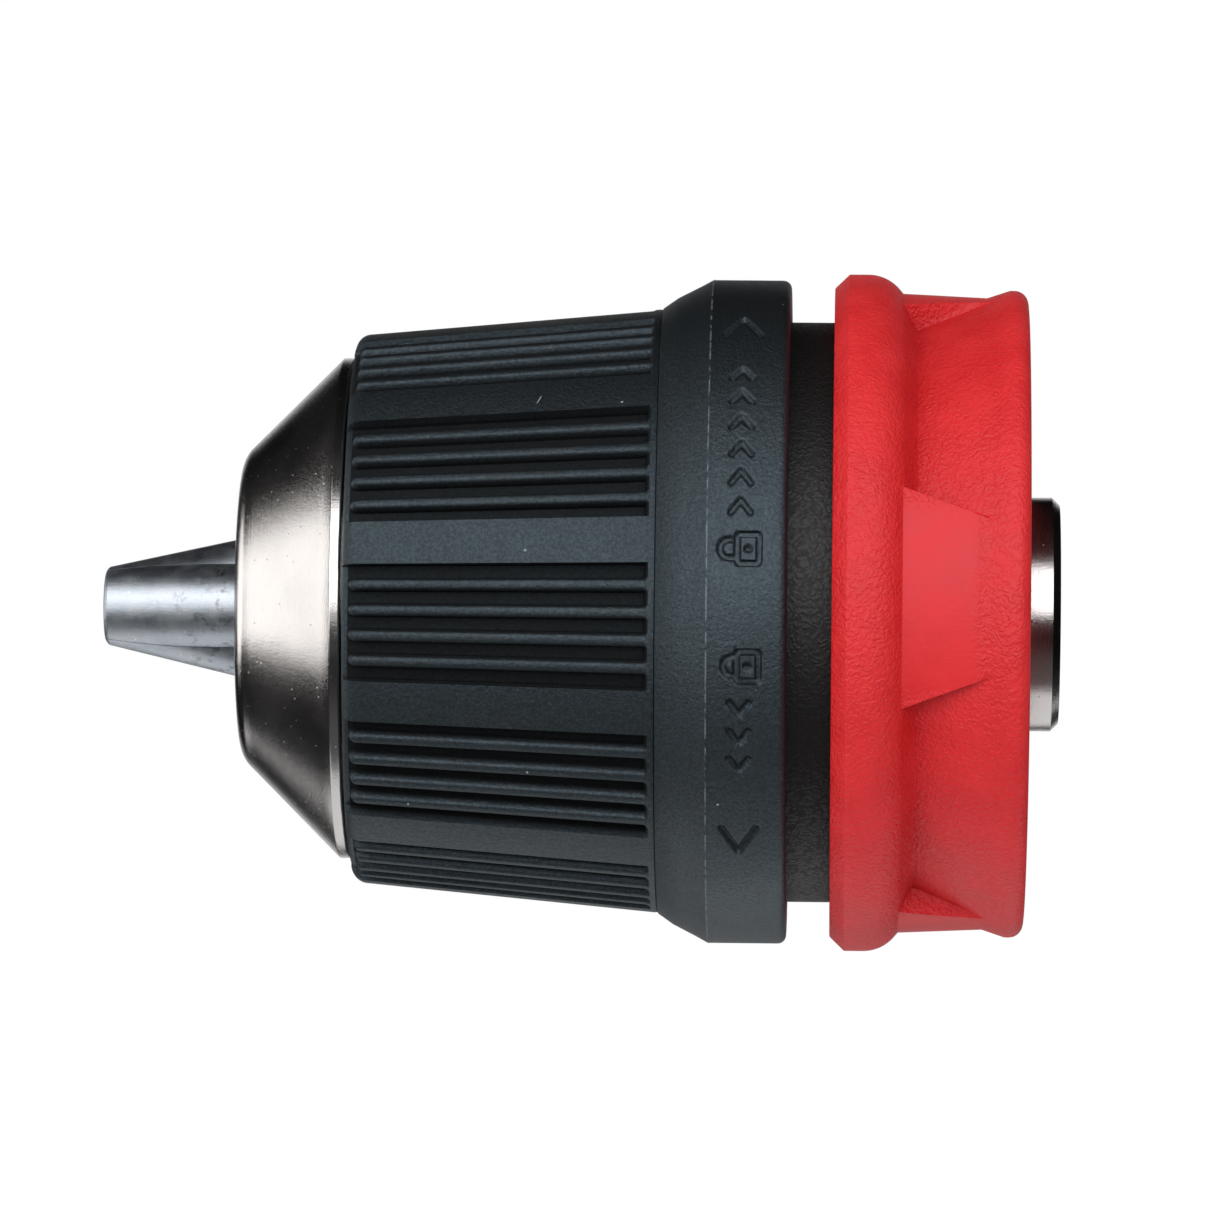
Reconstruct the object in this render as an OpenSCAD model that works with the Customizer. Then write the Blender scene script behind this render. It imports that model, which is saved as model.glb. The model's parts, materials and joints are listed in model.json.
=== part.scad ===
// Keyless quick-change drill chuck, 10 mm capacity.
// Every piece is drawn about an upright chuck axis: z = 0 is the rear face of
// the spindle coupling and z grows towards the jaws. on_axis() then lays the
// chuck down, so that the jaws point along -X and the spindle leaves along +X.

/* [Jaws] */
// Largest shank that the jaws take
capacity = 10; // [9:0.5:10]
// Diameter of a round jaw
jaw_d = 5.5; // [5.3:0.1:5.6]
// Angle between a jaw and the chuck axis
jaw_angle = 15; // [15:0.25:15.5]
// Distance from the rear face to the closed jaw tips
overall_length = 62.9; // [62.6:0.1:63.2]
// Turns of the nut between closed and fully open
nut_turns = 12.5; // [12.5:2.5:15]
// Azimuth of the first jaw
jaw_azimuth = -87; // [-120:1:0]

/* [Grip sleeve] */
// Diameter of the sleeve where it meets the collar
sleeve_d_rear = 39.8; // [39.6:0.1:40.2]
// Diameter of the sleeve at its front corner
sleeve_d_front = 36.3; // [36.1:0.1:36.8]
// Groups of grooves around the sleeve
groove_groups = 11; // [9:1:11]
// Grooves in one group
grooves_per_group = 5; // [3:1:5]
// Angle from one groove to the next
groove_step = 5.25; // [5:0.05:5.5]
// Depth of a groove
groove_depth = 0.8; // [0.5:0.1:0.9]
// Angle that a groove covers
groove_angle = 2.8; // [2:0.1:3.4]
// Azimuth of the middle of one smooth land between two groups
land_azimuth = -76.6; // [-90:0.1:-60]

/* [Collar and rear cover] */
// Diameter of the collar
collar_d = 43.7; // [43.4:0.1:44.2]
// Diameter of the rear cover, seen between the collar and the release ring
cover_d = 38.2; // [38.1:0.1:38.3]

/* [Release ring] */
// Diameter of the release ring's rim
ring_d = 44.6; // [44.4:0.1:45]
// How far the ring slides forwards to let the spindle go
ring_travel = 2.7; // [2.5:0.1:2.7]
// Finger scoops round the ring
scoops = 4; // [3:1:5]
// Angle that one land between two scoops covers
land_angle = 36; // [30:1:42]
// Azimuth of the middle of one land
ring_azimuth = -87.15; // [-120:0.05:-60]

/* [Spindle coupling] */
// Diameter of the bore that the spindle's pilot fills
pilot_d = 11.2; // [11:0.1:11.2]
// Outside diameter of the coupling sleeve
coupling_d = 15.4; // [15.4:0.05:15.5]
// Width across the flats of the drive hexagon
drive_af = 9.4; // [9:0.1:9.6]
// Radius of a locking ball
lock_ball_r = 1.6; // [1.5:0.05:1.6]

/* [Hidden] */
$fn = 96;
eps = 0.5;              // overshoot of a cutting tool past the face it cuts
slip = 0.04;            // radial clearance of a sliding fit
steel = "#8d9399";
dark_steel = "#5d6268";
nickel = "#c9c7c0";
black = "#2b2d30";
red = "#d92a2a";

// Jaw geometry. The jaw axes cross the chuck axis just behind the tips.
jaw_r = jaw_d / 2;
tip_reach = 1.3;        // how far the tips stand in front of that point
cross_z = overall_length - tip_reach;
jaw_stroke = capacity / 2 / sin(jaw_angle);
tooth_pitch = jaw_stroke / nut_turns;
tooth_depth = 0.55;
tooth_land = 0.4;       // half a groove's mouth, as a share of the pitch
tooth_floor = 0.1;      // half the width of a groove's floor
tooth_sector = 1.4;     // how deep the toothed side of a jaw reaches
tooth_count = 11;
jaw_rear_z = 35;
teeth_rear_z = 36;
tip_round = 0.65;
tip_face_r = 2.05;      // radius where the rounding of the tips starts
jaw_gap = 0.03;         // half the gap between two closed jaws
clear_of_jaws = 30;     // reaches past everything a jaw is cut from
function jaw_axis_r(z) = (cross_z - z) * tan(jaw_angle);
function jaw_outer_r(z) = jaw_axis_r(z) + jaw_r / cos(jaw_angle);

// Stations along the axis, rear to front
ring_rear_z = 2.2;
clip_z = 3.3;
cam_rear_z = 4.4;
lock_z = 7.4;           // plane of the locking balls
cam_front_z = 8.8;
drive_z = 9.4;
seat_z = 13.2;
cover_rear_z = 13.8;
drive_end_z = 14.5;
ring_front_z = 14.9;
body_rear_z = 15.2;
collar_rear_z = 17.75;
cover_front_z = 19.4;
sleeve_rear_z = 20;
coupling_front_z = 20.5;
bit_floor_z = 23;
collar_front_z = 26.2;
flange_z = 27;
race_z = 28.1;
nut_rear_z = 29.7;
band_rear_z = 30.7;
band_front_z = 38.5;
nut_front_z = 39.4;
shoulder_z = 39.8;
sleeve_corner_z = 45.3;
sleeve_front_z = 46.35;
nose_rear_z = 46.5;
body_front_z = 52;
nose_front_z = 53.8;

// Body and nosepiece
flange_r = 17;
waist_gap = 0.35;
spigot_r = 11.3;
nose_spigot_r = 9;
spigot_step_z = 47.5;
bit_bore_r = 5.25;
nose_barrel_r = 13.9;
nose_rim_r = 16.5;
nose_rim_z = 47.2;
nose_mouth_r = 5.6;
nose_round = 2.2;
nose_round_r = nose_rim_r - 7.6; // radius of the circle that the rounding sweeps along
nose_seat_gap = 0.7;    // between the body's shoulder and the nosepiece
mouth_chamfer = 0.5;

// Nut, its band and the thrust bearing
nut_gap = 0.08;
nut_half_angle = 179;
nut_r = 14;
band_r = 16;
band_flange_r = 17.75;
lug_r = 16.75;
lug_angle = 30;
lug_rear_z = 33;
lug_front_z = 37;
bury = 0.5;             // overlap that joins a raised detail to its piece
function nut_bore_r(z) = jaw_outer_r(z) + nut_gap;
thrust_ball_r = 0.75;
thrust_ball_z = (race_z + nut_rear_z) / 2;
thrust_circle_r = 13.4;
thrust_ball_count = 20;
race_in_r = 12.3;
race_out_r = 14.5;
cage_in_r = 12.55;
cage_out_r = 14.25;
cage_h = 0.6;

// Ratchet and pawl
ratchet_teeth = 24;
ratchet_in_r = 14.6;
ratchet_root_r = 15.6;
ratchet_tip_r = 16.3;
ratchet_h = 1.6;
ratchet_step = 360 / ratchet_teeth;
ratchet_face = 4;       // angle from a tooth's root to its tip on the steep side
pawl_z = flange_z + 0.3;
pawl_h = 1.4;
pawl_pivot_r = 17.1;
pawl_pin_r = 0.32;
pawl_eye_r = 0.62;
pawl_arm_in_r = 16.75;
pawl_arm_out_r = 17.15;
pawl_reach = 17.4;      // angle from the pivot to the tooth of the pawl
pawl_root = 1.6;        // angle from the pivot to the start of the pawl's arm
pawl_tooth_r = 16.42;
pawl_azimuth = 60;

// Sleeve, collar and cover
sleeve_r_rear = sleeve_d_rear / 2;
sleeve_r_front = sleeve_d_front / 2;
sleeve_taper = (sleeve_r_rear - sleeve_r_front) / (sleeve_corner_z - collar_front_z);
function sleeve_r(z) = sleeve_r_rear - (z - collar_front_z) * sleeve_taper;
sleeve_round = sleeve_front_z - sleeve_corner_z;
sleeve_spigot_r = 19.38;
sleeve_bore_r = 17.35;
pawl_room_r = 17.9;
pawl_room_front_z = 31;
dog_room_r = 16.95;
dog_room_front_z = 40;
dog_r = 16.25;
dog_angle = 60;
lost_motion = 25;       // turn of the sleeve on the nut that works the pawl
dog_azimuth = 60 + lost_motion / 2;
dog_inset = 0.3;        // dogs are this much shorter than the lugs at each end
sleeve_mid_r = 16.2;
sleeve_lip_z = 44.8;
sleeve_lip_r = 14.2;
groove_rear_z = collar_front_z + 0.45;
groove_end_z = sleeve_front_z + eps;
group_step = 360 / groove_groups;
collar_r = collar_d / 2;
collar_bore_r = 19.4;
collar_step_z = 22.85;
collar_cone_z = 25.3;
collar_cone_r = 20.6;
collar_lip_r = 19.95;
collar_round = 0.55;
cover_r = cover_d / 2;
cover_bore_r = flange_r + 0.02;
cover_hole_r = 7.9;

// Release ring and the lock
coupling_r = coupling_d / 2;
pilot_r = pilot_d / 2;
pilot_length = 5.2;
relief_r = pilot_r + 0.3;
coupling_chamfer = 0.5;
lock_balls = 3;
lock_azimuth = 30;
lock_r = 6.5;           // radius of the ball centres while locked
lock_lift = 0.75;
window_r = lock_ball_r + 0.05;
cam_clearance = 0.14;
cam_r = lock_r + lock_ball_r + cam_clearance;
cam_out_r = 10.8;
cam_slope = lock_lift / ring_travel;
clip_groove_r = 7.2;
clip_in_r = 7.25;
clip_out_r = 10.2;
clip_h = 1;
clip_slack = 0.05;
clip_opening = 5;
seat_out_r = 12.4;
screw_r = 2.5;
screw_clearance = 0.2;  // in the body
screw_fit = 0.02;       // in the coupling
screw_chamfer = 0.4;
screw_head_r = 4.2;
screw_head_h = 2.4;
screw_length = 7.5;
socket_r = 2.3;
socket_depth = 1.5;
spring_wire_r = 0.35;
spring_rear_r = 9.55;
spring_front_r = 11.8;  // the spring is a cone, so its turns nest when it closes
spring_turns = 3;
spring_sides = 8;
spring_steps = 28;      // rings of the wire for each turn

ring_r = ring_d / 2;
ring_boss_r = 12.6;
ring_web_z = 7;
ring_cavity_r = 17.5;
ring_step_z = 10.4;
ring_bore_r = cover_r + 0.2;
ring_land_r = ring_r - 1.25;
ring_foot_r = ring_r - 1.5;
ring_foot_z = 4.9;
ring_rear_r = ring_r - 1;
ring_rear_round = 0.9;
ring_rim_rear_z = 12.7;
ring_rim_front_z = 14;
ring_chamfer = 0.9;
ring_band_z = 3.4;      // front end of the cylindrical rear band
ring_rim_round = 2.69;  // the curve from a land up to the rim
ring_rim_angle = 52;
ring_rim_r = ring_r - 2.7; // radius of the circle that this curve sweeps along
flare_slope = (ring_rear_r - ring_foot_r) / (ring_foot_z - ring_band_z);
scoop_rear_z = 4.6;
scoop_front_z = 9.6;
scoop_sink = 0.05;      // step down from the flare to the floor of a scoop
function flare_r(z) = ring_foot_r + (ring_foot_z - z) * flare_slope - scoop_sink;
scoop_wall_z = 10.4;

// Points of an arc in a half section, from angle a0 to angle a1
function arc(cr, cz, r, a0, a1, n = 6) =
    [for (i = [0 : n]) let (a = a0 + (a1 - a0) * i / n) [cr + r * cos(a), cz + r * sin(a)]];

// Point at a radius and an angle
function polar(r, a) = [r * cos(a), r * sin(a)];

// Lays the upright chuck axis down along -X
module on_axis() rotate([0, -90, 0]) children();

// Turned piece from a half section of [radius, z] points
module turned(points) rotate_extrude() polygon(points);

// Plain ring between two stations
module ring(z0, z1, r_in, r_out) turned([[r_in, z0], [r_out, z0], [r_out, z1], [r_in, z1]]);

// Sector of a turned piece, centred on an azimuth
module sector(azimuth, angle, points)
    rotate([0, 0, azimuth - angle / 2]) rotate_extrude(angle = angle) polygon(points);

// Drilling along the axis
module drill(z0, z1, r) translate([0, 0, z0]) cylinder(h = z1 - z0, r = r);

// Places children on a jaw's own axis: their z runs along the jaw, with 0 at
// the point where the jaw axes cross the chuck axis
module on_jaw(azimuth)
    rotate([0, 0, azimuth]) translate([0, 0, cross_z]) rotate([0, -jaw_angle, 0]) children();

function along_jaw(z) = (z - cross_z) / cos(jaw_angle);

// Turned steel core: rear flange, waist for the split nut, front spigots
module chuck_body() on_axis() color(steel) difference() {
    turned([
        [0, body_rear_z], [flange_r, body_rear_z], [flange_r, flange_z],
        [nut_bore_r(nut_rear_z) - waist_gap, flange_z],
        [nut_bore_r(nut_rear_z) - waist_gap, nut_rear_z],
        [nut_bore_r(shoulder_z) - waist_gap, shoulder_z],
        [spigot_r, shoulder_z], [spigot_r, spigot_step_z],
        [nose_spigot_r, spigot_step_z], [nose_spigot_r, body_front_z], [0, body_front_z]
    ]);
    drill(bit_floor_z, body_front_z + eps, bit_bore_r);
    drill(body_rear_z - eps, coupling_front_z, coupling_r);
    drill(coupling_front_z - eps, bit_floor_z + eps, screw_r + screw_clearance);
    for (k = [0 : 2]) on_jaw(jaw_azimuth + 120 * k)
        drill(along_jaw(body_rear_z) - jaw_r, along_jaw(body_front_z) + jaw_r, jaw_r + slip);
}

// Plated nose cone, pressed over the body's spigots
module nosepiece() on_axis() color(nickel) turned(concat(
    [
        [spigot_r, shoulder_z + nose_seat_gap], [nose_barrel_r, shoulder_z + nose_seat_gap],
        [nose_barrel_r, nose_rear_z], [nose_rim_r, nose_rear_z], [nose_rim_r, nose_rim_z]
    ],
    arc(nose_round_r, nose_front_z - nose_round, nose_round, 45, 90),
    [
        [nose_mouth_r + mouth_chamfer, nose_front_z],
        [nose_mouth_r, nose_front_z - mouth_chamfer],
        [nose_mouth_r, body_front_z], [nose_spigot_r, body_front_z],
        [nose_spigot_r, spigot_step_z], [spigot_r, spigot_step_z]
    ]
));

// One annular thread groove, cut across a jaw
module tooth_groove() rotate_extrude() polygon([
    [jaw_r - tooth_depth, -tooth_floor], [jaw_r + eps, -tooth_pitch * tooth_land],
    [jaw_r + eps, tooth_pitch * tooth_land], [jaw_r - tooth_depth, tooth_floor]
]);

// Round jaw: three gripping jaws meet in 120 degree wedges, and the outer
// side carries thread teeth, set off by a third of a pitch from jaw to jaw
module jaw(index) on_axis() color(dark_steel) intersection() {
    on_jaw(jaw_azimuth + 120 * index) difference() {
        drill(along_jaw(jaw_rear_z), along_jaw(overall_length) + jaw_r, jaw_r);
        intersection() {
            for (t = [0 : tooth_count - 1])
                translate([0, 0, along_jaw(teeth_rear_z) + (t + index / 3) * tooth_pitch])
                    tooth_groove();
            translate([jaw_r - tooth_sector, -jaw_r, along_jaw(jaw_rear_z)])
                cube([2 * jaw_r, 2 * jaw_r, along_jaw(body_front_z) - along_jaw(jaw_rear_z)]);
        }
    }
    rotate([0, 0, jaw_azimuth + 120 * index]) linear_extrude(overall_length + 1)
        polygon([
            [jaw_gap / sin(60), 0], [clear_of_jaws, clear_of_jaws * tan(60)],
            [clear_of_jaws, -clear_of_jaws * tan(60)]
        ]);
    turned(concat(
        [
            [0, 0], [clear_of_jaws, 0], [clear_of_jaws, overall_length - tip_round]
        ],
        arc(tip_face_r, overall_length - tip_round, tip_round, 0, 90),
        [[0, overall_length]]
    ));
}
module jaw_1() jaw(0);
module jaw_2() jaw(1);
module jaw_3() jaw(2);

// Half of the split nut; the band holds the halves together
module nut_half(azimuth) on_axis() color(steel) sector(azimuth, nut_half_angle, [
    [nut_bore_r(nut_rear_z), nut_rear_z], [nut_r, nut_rear_z],
    [nut_r, nut_front_z], [nut_bore_r(nut_front_z), nut_front_z]
]);
module nut_half_a() nut_half(90);
module nut_half_b() nut_half(270);

// Band pressed round the nut, with a flange for the pawl and three driving lugs
module nut_band() on_axis() color(dark_steel) difference() {
    union() {
        turned([
            [nut_r, nut_rear_z], [band_flange_r, nut_rear_z], [band_flange_r, band_rear_z],
            [band_r, band_rear_z], [band_r, band_front_z], [nut_r, band_front_z]
        ]);
        for (k = [0 : 2]) sector(120 * k, lug_angle, [
            [band_r - bury, lug_rear_z], [lug_r, lug_rear_z],
            [lug_r, lug_front_z], [band_r - bury, lug_front_z]
        ]);
    }
    at_pawl() drill(nut_rear_z - eps, band_rear_z + eps, pawl_pin_r);
}

// Places children on the pawl's pivot
module at_pawl() rotate([0, 0, pawl_azimuth]) translate([pawl_pivot_r, 0, 0]) children();

module pawl_pin() on_axis() color(steel) at_pawl() drill(pawl_z, band_rear_z, pawl_pin_r);

// Spring-steel pawl: an eye on the pin and a curved arm that ends in a tooth
module spring_pawl() on_axis() color(dark_steel) translate([0, 0, pawl_z])
    rotate([0, 0, pawl_azimuth]) linear_extrude(pawl_h) difference() {
        union() {
            translate([pawl_pivot_r, 0]) circle(r = pawl_eye_r);
            polygon(concat(
                [for (a = [pawl_root : 2 : pawl_reach + 2]) polar(pawl_arm_out_r, a)],
                [polar(pawl_arm_in_r, pawl_reach + 2), polar(pawl_arm_in_r, pawl_reach + 1.3),
                 polar(pawl_tooth_r, pawl_reach)],
                [for (a = [pawl_reach - 1.4 : -2 : pawl_root]) polar(pawl_arm_in_r, a)]
            ));
        }
        translate([pawl_pivot_r, 0]) circle(r = pawl_pin_r + slip);
    }

// Ring of ratchet teeth on the body's flange
module ratchet_ring() on_axis() color(steel) translate([0, 0, flange_z])
    rotate([0, 0, pawl_azimuth + pawl_reach]) linear_extrude(ratchet_h) difference() {
        polygon([
            for (k = [0 : ratchet_teeth - 1], tip = [0, 1])
                let (a = k * ratchet_step + tip * ratchet_face,
                     r = tip ? ratchet_tip_r : ratchet_root_r)
                    polar(r, a)
        ]);
        circle(r = ratchet_in_r);
    }

module thrust_washer() on_axis() color(nickel) ring(flange_z, race_z, race_in_r, race_out_r);

// Runs children once for each ball of the thrust bearing
module each_thrust_ball() for (k = [0 : thrust_ball_count - 1])
    rotate([0, 0, 360 * k / thrust_ball_count])
        translate([thrust_circle_r, 0, thrust_ball_z]) children();

module ball_cage() on_axis() color("#b58e3c") difference() {
    ring(thrust_ball_z - cage_h / 2, thrust_ball_z + cage_h / 2, cage_in_r, cage_out_r);
    each_thrust_ball() cylinder(h = 2, r = thrust_ball_r + slip, center = true);
}

module thrust_balls() on_axis() color(nickel) each_thrust_ball() sphere(r = thrust_ball_r, $fn = 32);

// Tapered grip sleeve with groups of grooves, inner dogs and a front lip
module grip_sleeve() on_axis() color(black) difference() {
    union() {
        turned(concat(
            [
                [sleeve_bore_r, sleeve_rear_z], [sleeve_spigot_r, sleeve_rear_z],
                [sleeve_spigot_r, collar_front_z], [sleeve_r_rear, collar_front_z]
            ],
            arc(sleeve_r_front - sleeve_round, sleeve_corner_z, sleeve_round, 0, 90),
            [
                [sleeve_lip_r, sleeve_front_z], [sleeve_lip_r, sleeve_lip_z],
                [sleeve_mid_r, sleeve_lip_z], [sleeve_mid_r, dog_room_front_z],
                [dog_room_r, dog_room_front_z], [dog_room_r, pawl_room_front_z],
                [pawl_room_r, pawl_room_front_z], [pawl_room_r, flange_z + 0.1],
                [sleeve_bore_r, flange_z + 0.1]
            ]
        ));
        for (k = [0 : 2]) sector(120 * k + dog_azimuth, dog_angle, [
            [dog_r, lug_rear_z + dog_inset], [dog_room_r + bury, lug_rear_z + dog_inset],
            [dog_room_r + bury, lug_front_z - dog_inset], [dog_r, lug_front_z - dog_inset]
        ]);
    }
    for (g = [0 : groove_groups - 1], i = [0 : grooves_per_group - 1])
        sector(land_azimuth + (g + 0.5) * group_step + (i - (grooves_per_group - 1) / 2) * groove_step,
            groove_angle, [
                [sleeve_r(groove_rear_z) - groove_depth, groove_rear_z],
                [sleeve_r(groove_rear_z) + eps, groove_rear_z],
                [sleeve_r(groove_end_z) + eps, groove_end_z],
                [sleeve_r(groove_end_z) - groove_depth, groove_end_z]
            ]);
}

// Smooth collar pressed over the rear spigot of the sleeve
module lock_collar() on_axis() color(black) turned(concat(
    [[collar_bore_r, collar_rear_z]],
    arc(collar_r - collar_round, collar_rear_z + collar_round, collar_round, -90, 0, 4),
    [
        [collar_r, collar_step_z], [collar_cone_r, collar_cone_z],
        [collar_lip_r, collar_front_z], [collar_bore_r, collar_front_z]
    ]
));

// Rear cover: closes the back of the body and carries the spring seat
module rear_cover() on_axis() color("#202122") turned([
    [cover_hole_r, cover_rear_z], [cover_r, cover_rear_z], [cover_r, cover_front_z],
    [cover_bore_r, cover_front_z], [cover_bore_r, body_rear_z], [cover_hole_r, body_rear_z]
]);

// Places children round the coupling, one for each locking ball
module at_lock(k) rotate([0, 0, lock_azimuth + 120 * k]) translate([0, 0, lock_z]) children();

// Spindle coupling: pilot bore, ball windows, drive hexagon and screw boss
module coupling_sleeve() on_axis() color(nickel) difference() {
    turned([
        [0, 0], [coupling_r - coupling_chamfer, 0], [coupling_r, coupling_chamfer],
        [coupling_r, coupling_front_z], [0, coupling_front_z]
    ]);
    drill(-eps, drive_z, pilot_r);
    drill(pilot_length, drive_z, relief_r);
    translate([0, 0, drive_z - eps])
        cylinder(h = drive_end_z - drive_z + eps, r = drive_af / 2 / cos(30), $fn = 6);
    drill(drive_end_z - eps, coupling_front_z + eps, screw_r + screw_fit);
    ring(clip_z - clip_slack, clip_z + clip_h + clip_slack, clip_groove_r, coupling_r + 1);
    for (k = [0 : lock_balls - 1]) at_lock(k) rotate([0, 90, 0])
        cylinder(h = coupling_r + 1, r = window_r);
}

// Socket screw that draws the coupling and the body together
module fixing_screw() on_axis() color(dark_steel) difference() {
    turned([
        [0, bit_floor_z - screw_length], [screw_r, bit_floor_z - screw_length],
        [screw_r, bit_floor_z], [screw_head_r, bit_floor_z],
        [screw_head_r, bit_floor_z + screw_head_h - screw_chamfer],
        [screw_head_r - screw_chamfer, bit_floor_z + screw_head_h],
        [0, bit_floor_z + screw_head_h]
    ]);
    translate([0, 0, bit_floor_z + screw_head_h - socket_depth])
        cylinder(h = socket_depth + eps, r = socket_r, $fn = 6);
}

// Open snap ring that stops the cam ring
module retaining_ring() on_axis() color(dark_steel) difference() {
    ring(clip_z, clip_z + clip_h, clip_in_r, clip_out_r);
    translate([0, -clip_opening / 2, clip_z - eps])
        cube([clip_out_r + 1, clip_opening, clip_h + 2 * eps]);
}

module lock_ball(k) on_axis() color(nickel) at_lock(k) translate([lock_r, 0, 0])
    sphere(r = lock_ball_r, $fn = 48);
module lock_ball_1() lock_ball(0);
module lock_ball_2() lock_ball(1);
module lock_ball_3() lock_ball(2);

// Hardened ring whose cone lets the balls out as it moves forwards
module cam_ring() on_axis() color(steel) turned([
    [cam_r + (lock_z - cam_rear_z) * cam_slope, cam_rear_z], [cam_out_r, cam_rear_z],
    [cam_out_r, cam_front_z], [cam_r, cam_front_z], [cam_r, lock_z]
]);

// Release ring: web round the cam ring, skirt over the cover, finger scoops
module release_ring() on_axis() color(red) difference() {
    turned(concat(
        [[cam_out_r, ring_rear_z]],
        arc(ring_rear_r - ring_rear_round, ring_rear_z + ring_rear_round, ring_rear_round, -90, 0, 4),
        [[ring_rear_r, ring_band_z], [ring_foot_r, ring_foot_z], [ring_land_r, ring_step_z]],
        arc(ring_rim_r, ring_rim_rear_z, ring_rim_round, -ring_rim_angle, 0, 4),
        [
            [ring_r, ring_rim_front_z], [ring_r - ring_chamfer, ring_front_z],
            [ring_bore_r, ring_front_z], [ring_bore_r, ring_step_z],
            [ring_cavity_r, ring_step_z], [ring_cavity_r, ring_web_z],
            [ring_boss_r, ring_web_z], [ring_boss_r, cam_front_z], [cam_out_r, cam_front_z]
        ]
    ));
    for (k = [0 : scoops - 1])
        sector(ring_azimuth + (k + 0.5) * 360 / scoops, 360 / scoops - land_angle, [
            [flare_r(scoop_rear_z), scoop_rear_z], [flare_r(scoop_front_z), scoop_front_z],
            [ring_land_r, scoop_wall_z], [ring_r + eps, scoop_wall_z],
            [ring_r + eps, scoop_rear_z]
        ]);
}

// Centre of the spring wire after a share of its length, from 0 to 1
function coil_point(share) =
    let (a = 360 * spring_turns * share,
         r = spring_rear_r + (spring_front_r - spring_rear_r) * share)
        [r * cos(a), r * sin(a),
         cam_front_z + spring_wire_r + (seat_z - cam_front_z - 2 * spring_wire_r) * share];

// Conical spring wire as one closed skin: rings of points joined by quads
module release_spring() on_axis() color(steel) {
    rings = spring_turns * spring_steps;
    points = [
        for (i = [0 : rings], s = [0 : spring_sides - 1])
            let (c = coil_point(i / rings), a = 360 * spring_turns * i / rings,
                 b = 360 * s / spring_sides, out = spring_wire_r * cos(b))
                [c[0] + out * cos(a), c[1] + out * sin(a), c[2] + spring_wire_r * sin(b)]
    ];
    walls = [
        for (i = [0 : rings - 1], s = [0 : spring_sides - 1])
            let (n = (s + 1) % spring_sides, p = i * spring_sides, q = p + spring_sides)
                [p + s, q + s, q + n, p + n]
    ];
    rear_cap = [for (s = [0 : spring_sides - 1]) s];
    front_cap = [for (s = [spring_sides - 1 : -1 : 0]) rings * spring_sides + s];
    polyhedron(points, concat(walls, [rear_cap, front_cap]));
}

module spring_seat() on_axis() color(steel) ring(seat_z, cover_rear_z, cover_hole_r, seat_out_r);

chuck_body();
nosepiece();
jaw_1();
jaw_2();
jaw_3();
nut_half_a();
nut_half_b();
nut_band();
pawl_pin();
spring_pawl();
ratchet_ring();
thrust_washer();
ball_cage();
thrust_balls();
grip_sleeve();
lock_collar();
rear_cover();
coupling_sleeve();
fixing_screw();
retaining_ring();
lock_ball_1();
lock_ball_2();
lock_ball_3();
cam_ring();
release_ring();
release_spring();
spring_seat();
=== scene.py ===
"""Looks of a quick-change keyless drill chuck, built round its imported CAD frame.

The chuck axis is world X and the jaws point along -X. Most shapes are given as (s, r): s mm in
front of the rear face, along -X, and r mm off the axis. An angle is in degrees up from the
camera side, -Y.
"""

import json
import math

import bmesh
import bpy
import numpy as np
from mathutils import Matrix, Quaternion, Vector


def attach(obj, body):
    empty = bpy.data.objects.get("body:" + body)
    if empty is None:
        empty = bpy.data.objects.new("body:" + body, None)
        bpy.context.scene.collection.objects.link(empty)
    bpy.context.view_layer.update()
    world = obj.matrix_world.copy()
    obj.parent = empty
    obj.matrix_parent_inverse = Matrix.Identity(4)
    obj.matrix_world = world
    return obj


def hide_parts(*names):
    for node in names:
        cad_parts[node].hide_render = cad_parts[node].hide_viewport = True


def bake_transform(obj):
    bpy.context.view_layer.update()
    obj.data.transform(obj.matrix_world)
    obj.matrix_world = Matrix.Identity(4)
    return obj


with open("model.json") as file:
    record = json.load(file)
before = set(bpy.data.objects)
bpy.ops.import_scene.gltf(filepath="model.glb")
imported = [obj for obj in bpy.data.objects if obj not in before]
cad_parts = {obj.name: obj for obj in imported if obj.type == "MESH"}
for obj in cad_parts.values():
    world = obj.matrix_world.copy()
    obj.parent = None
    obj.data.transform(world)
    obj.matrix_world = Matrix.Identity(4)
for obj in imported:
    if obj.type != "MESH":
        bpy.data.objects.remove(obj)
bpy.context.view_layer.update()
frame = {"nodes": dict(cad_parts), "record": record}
MM = 0.001


# ---------------------------------------------------------------- node helpers

def node(tree, kind, inputs=None, **props):
    """A new node; inputs are numbers, colours or the sockets to link from."""
    made = tree.nodes.new(kind)
    for key, value in props.items():
        setattr(made, key, value)
    for key, value in (inputs or {}).items():
        if isinstance(value, bpy.types.NodeSocket):
            tree.links.new(value, made.inputs[key])
        else:
            made.inputs[key].default_value = value
    return made


def calc(tree, operation, *values):
    """One Math node on numbers or sockets."""
    return node(tree, "ShaderNodeMath", dict(enumerate(values)), operation=operation).outputs[0]


def ramp(tree, value, start, end, low=0.0, high=1.0):
    """Smooth step of value from start to end, mapped to low..high."""
    return node(tree, "ShaderNodeMapRange",
                {0: value, 1: start, 2: end, 3: low, 4: high},
                interpolation_type="SMOOTHSTEP").outputs[0]


def noise(tree, vector, scale, detail=3.0, roughness=0.55, stretch=(1, 1, 1)):
    """Noise with scale in cells per mm, on a vector in mm."""
    scaled = node(tree, "ShaderNodeVectorMath", {0: vector, 1: [scale * k for k in stretch]},
                  operation="MULTIPLY")
    return node(tree, "ShaderNodeTexNoise",
                {"Vector": scaled.outputs[0], "Scale": 1.0, "Detail": detail,
                 "Roughness": roughness}).outputs[0]


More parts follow.
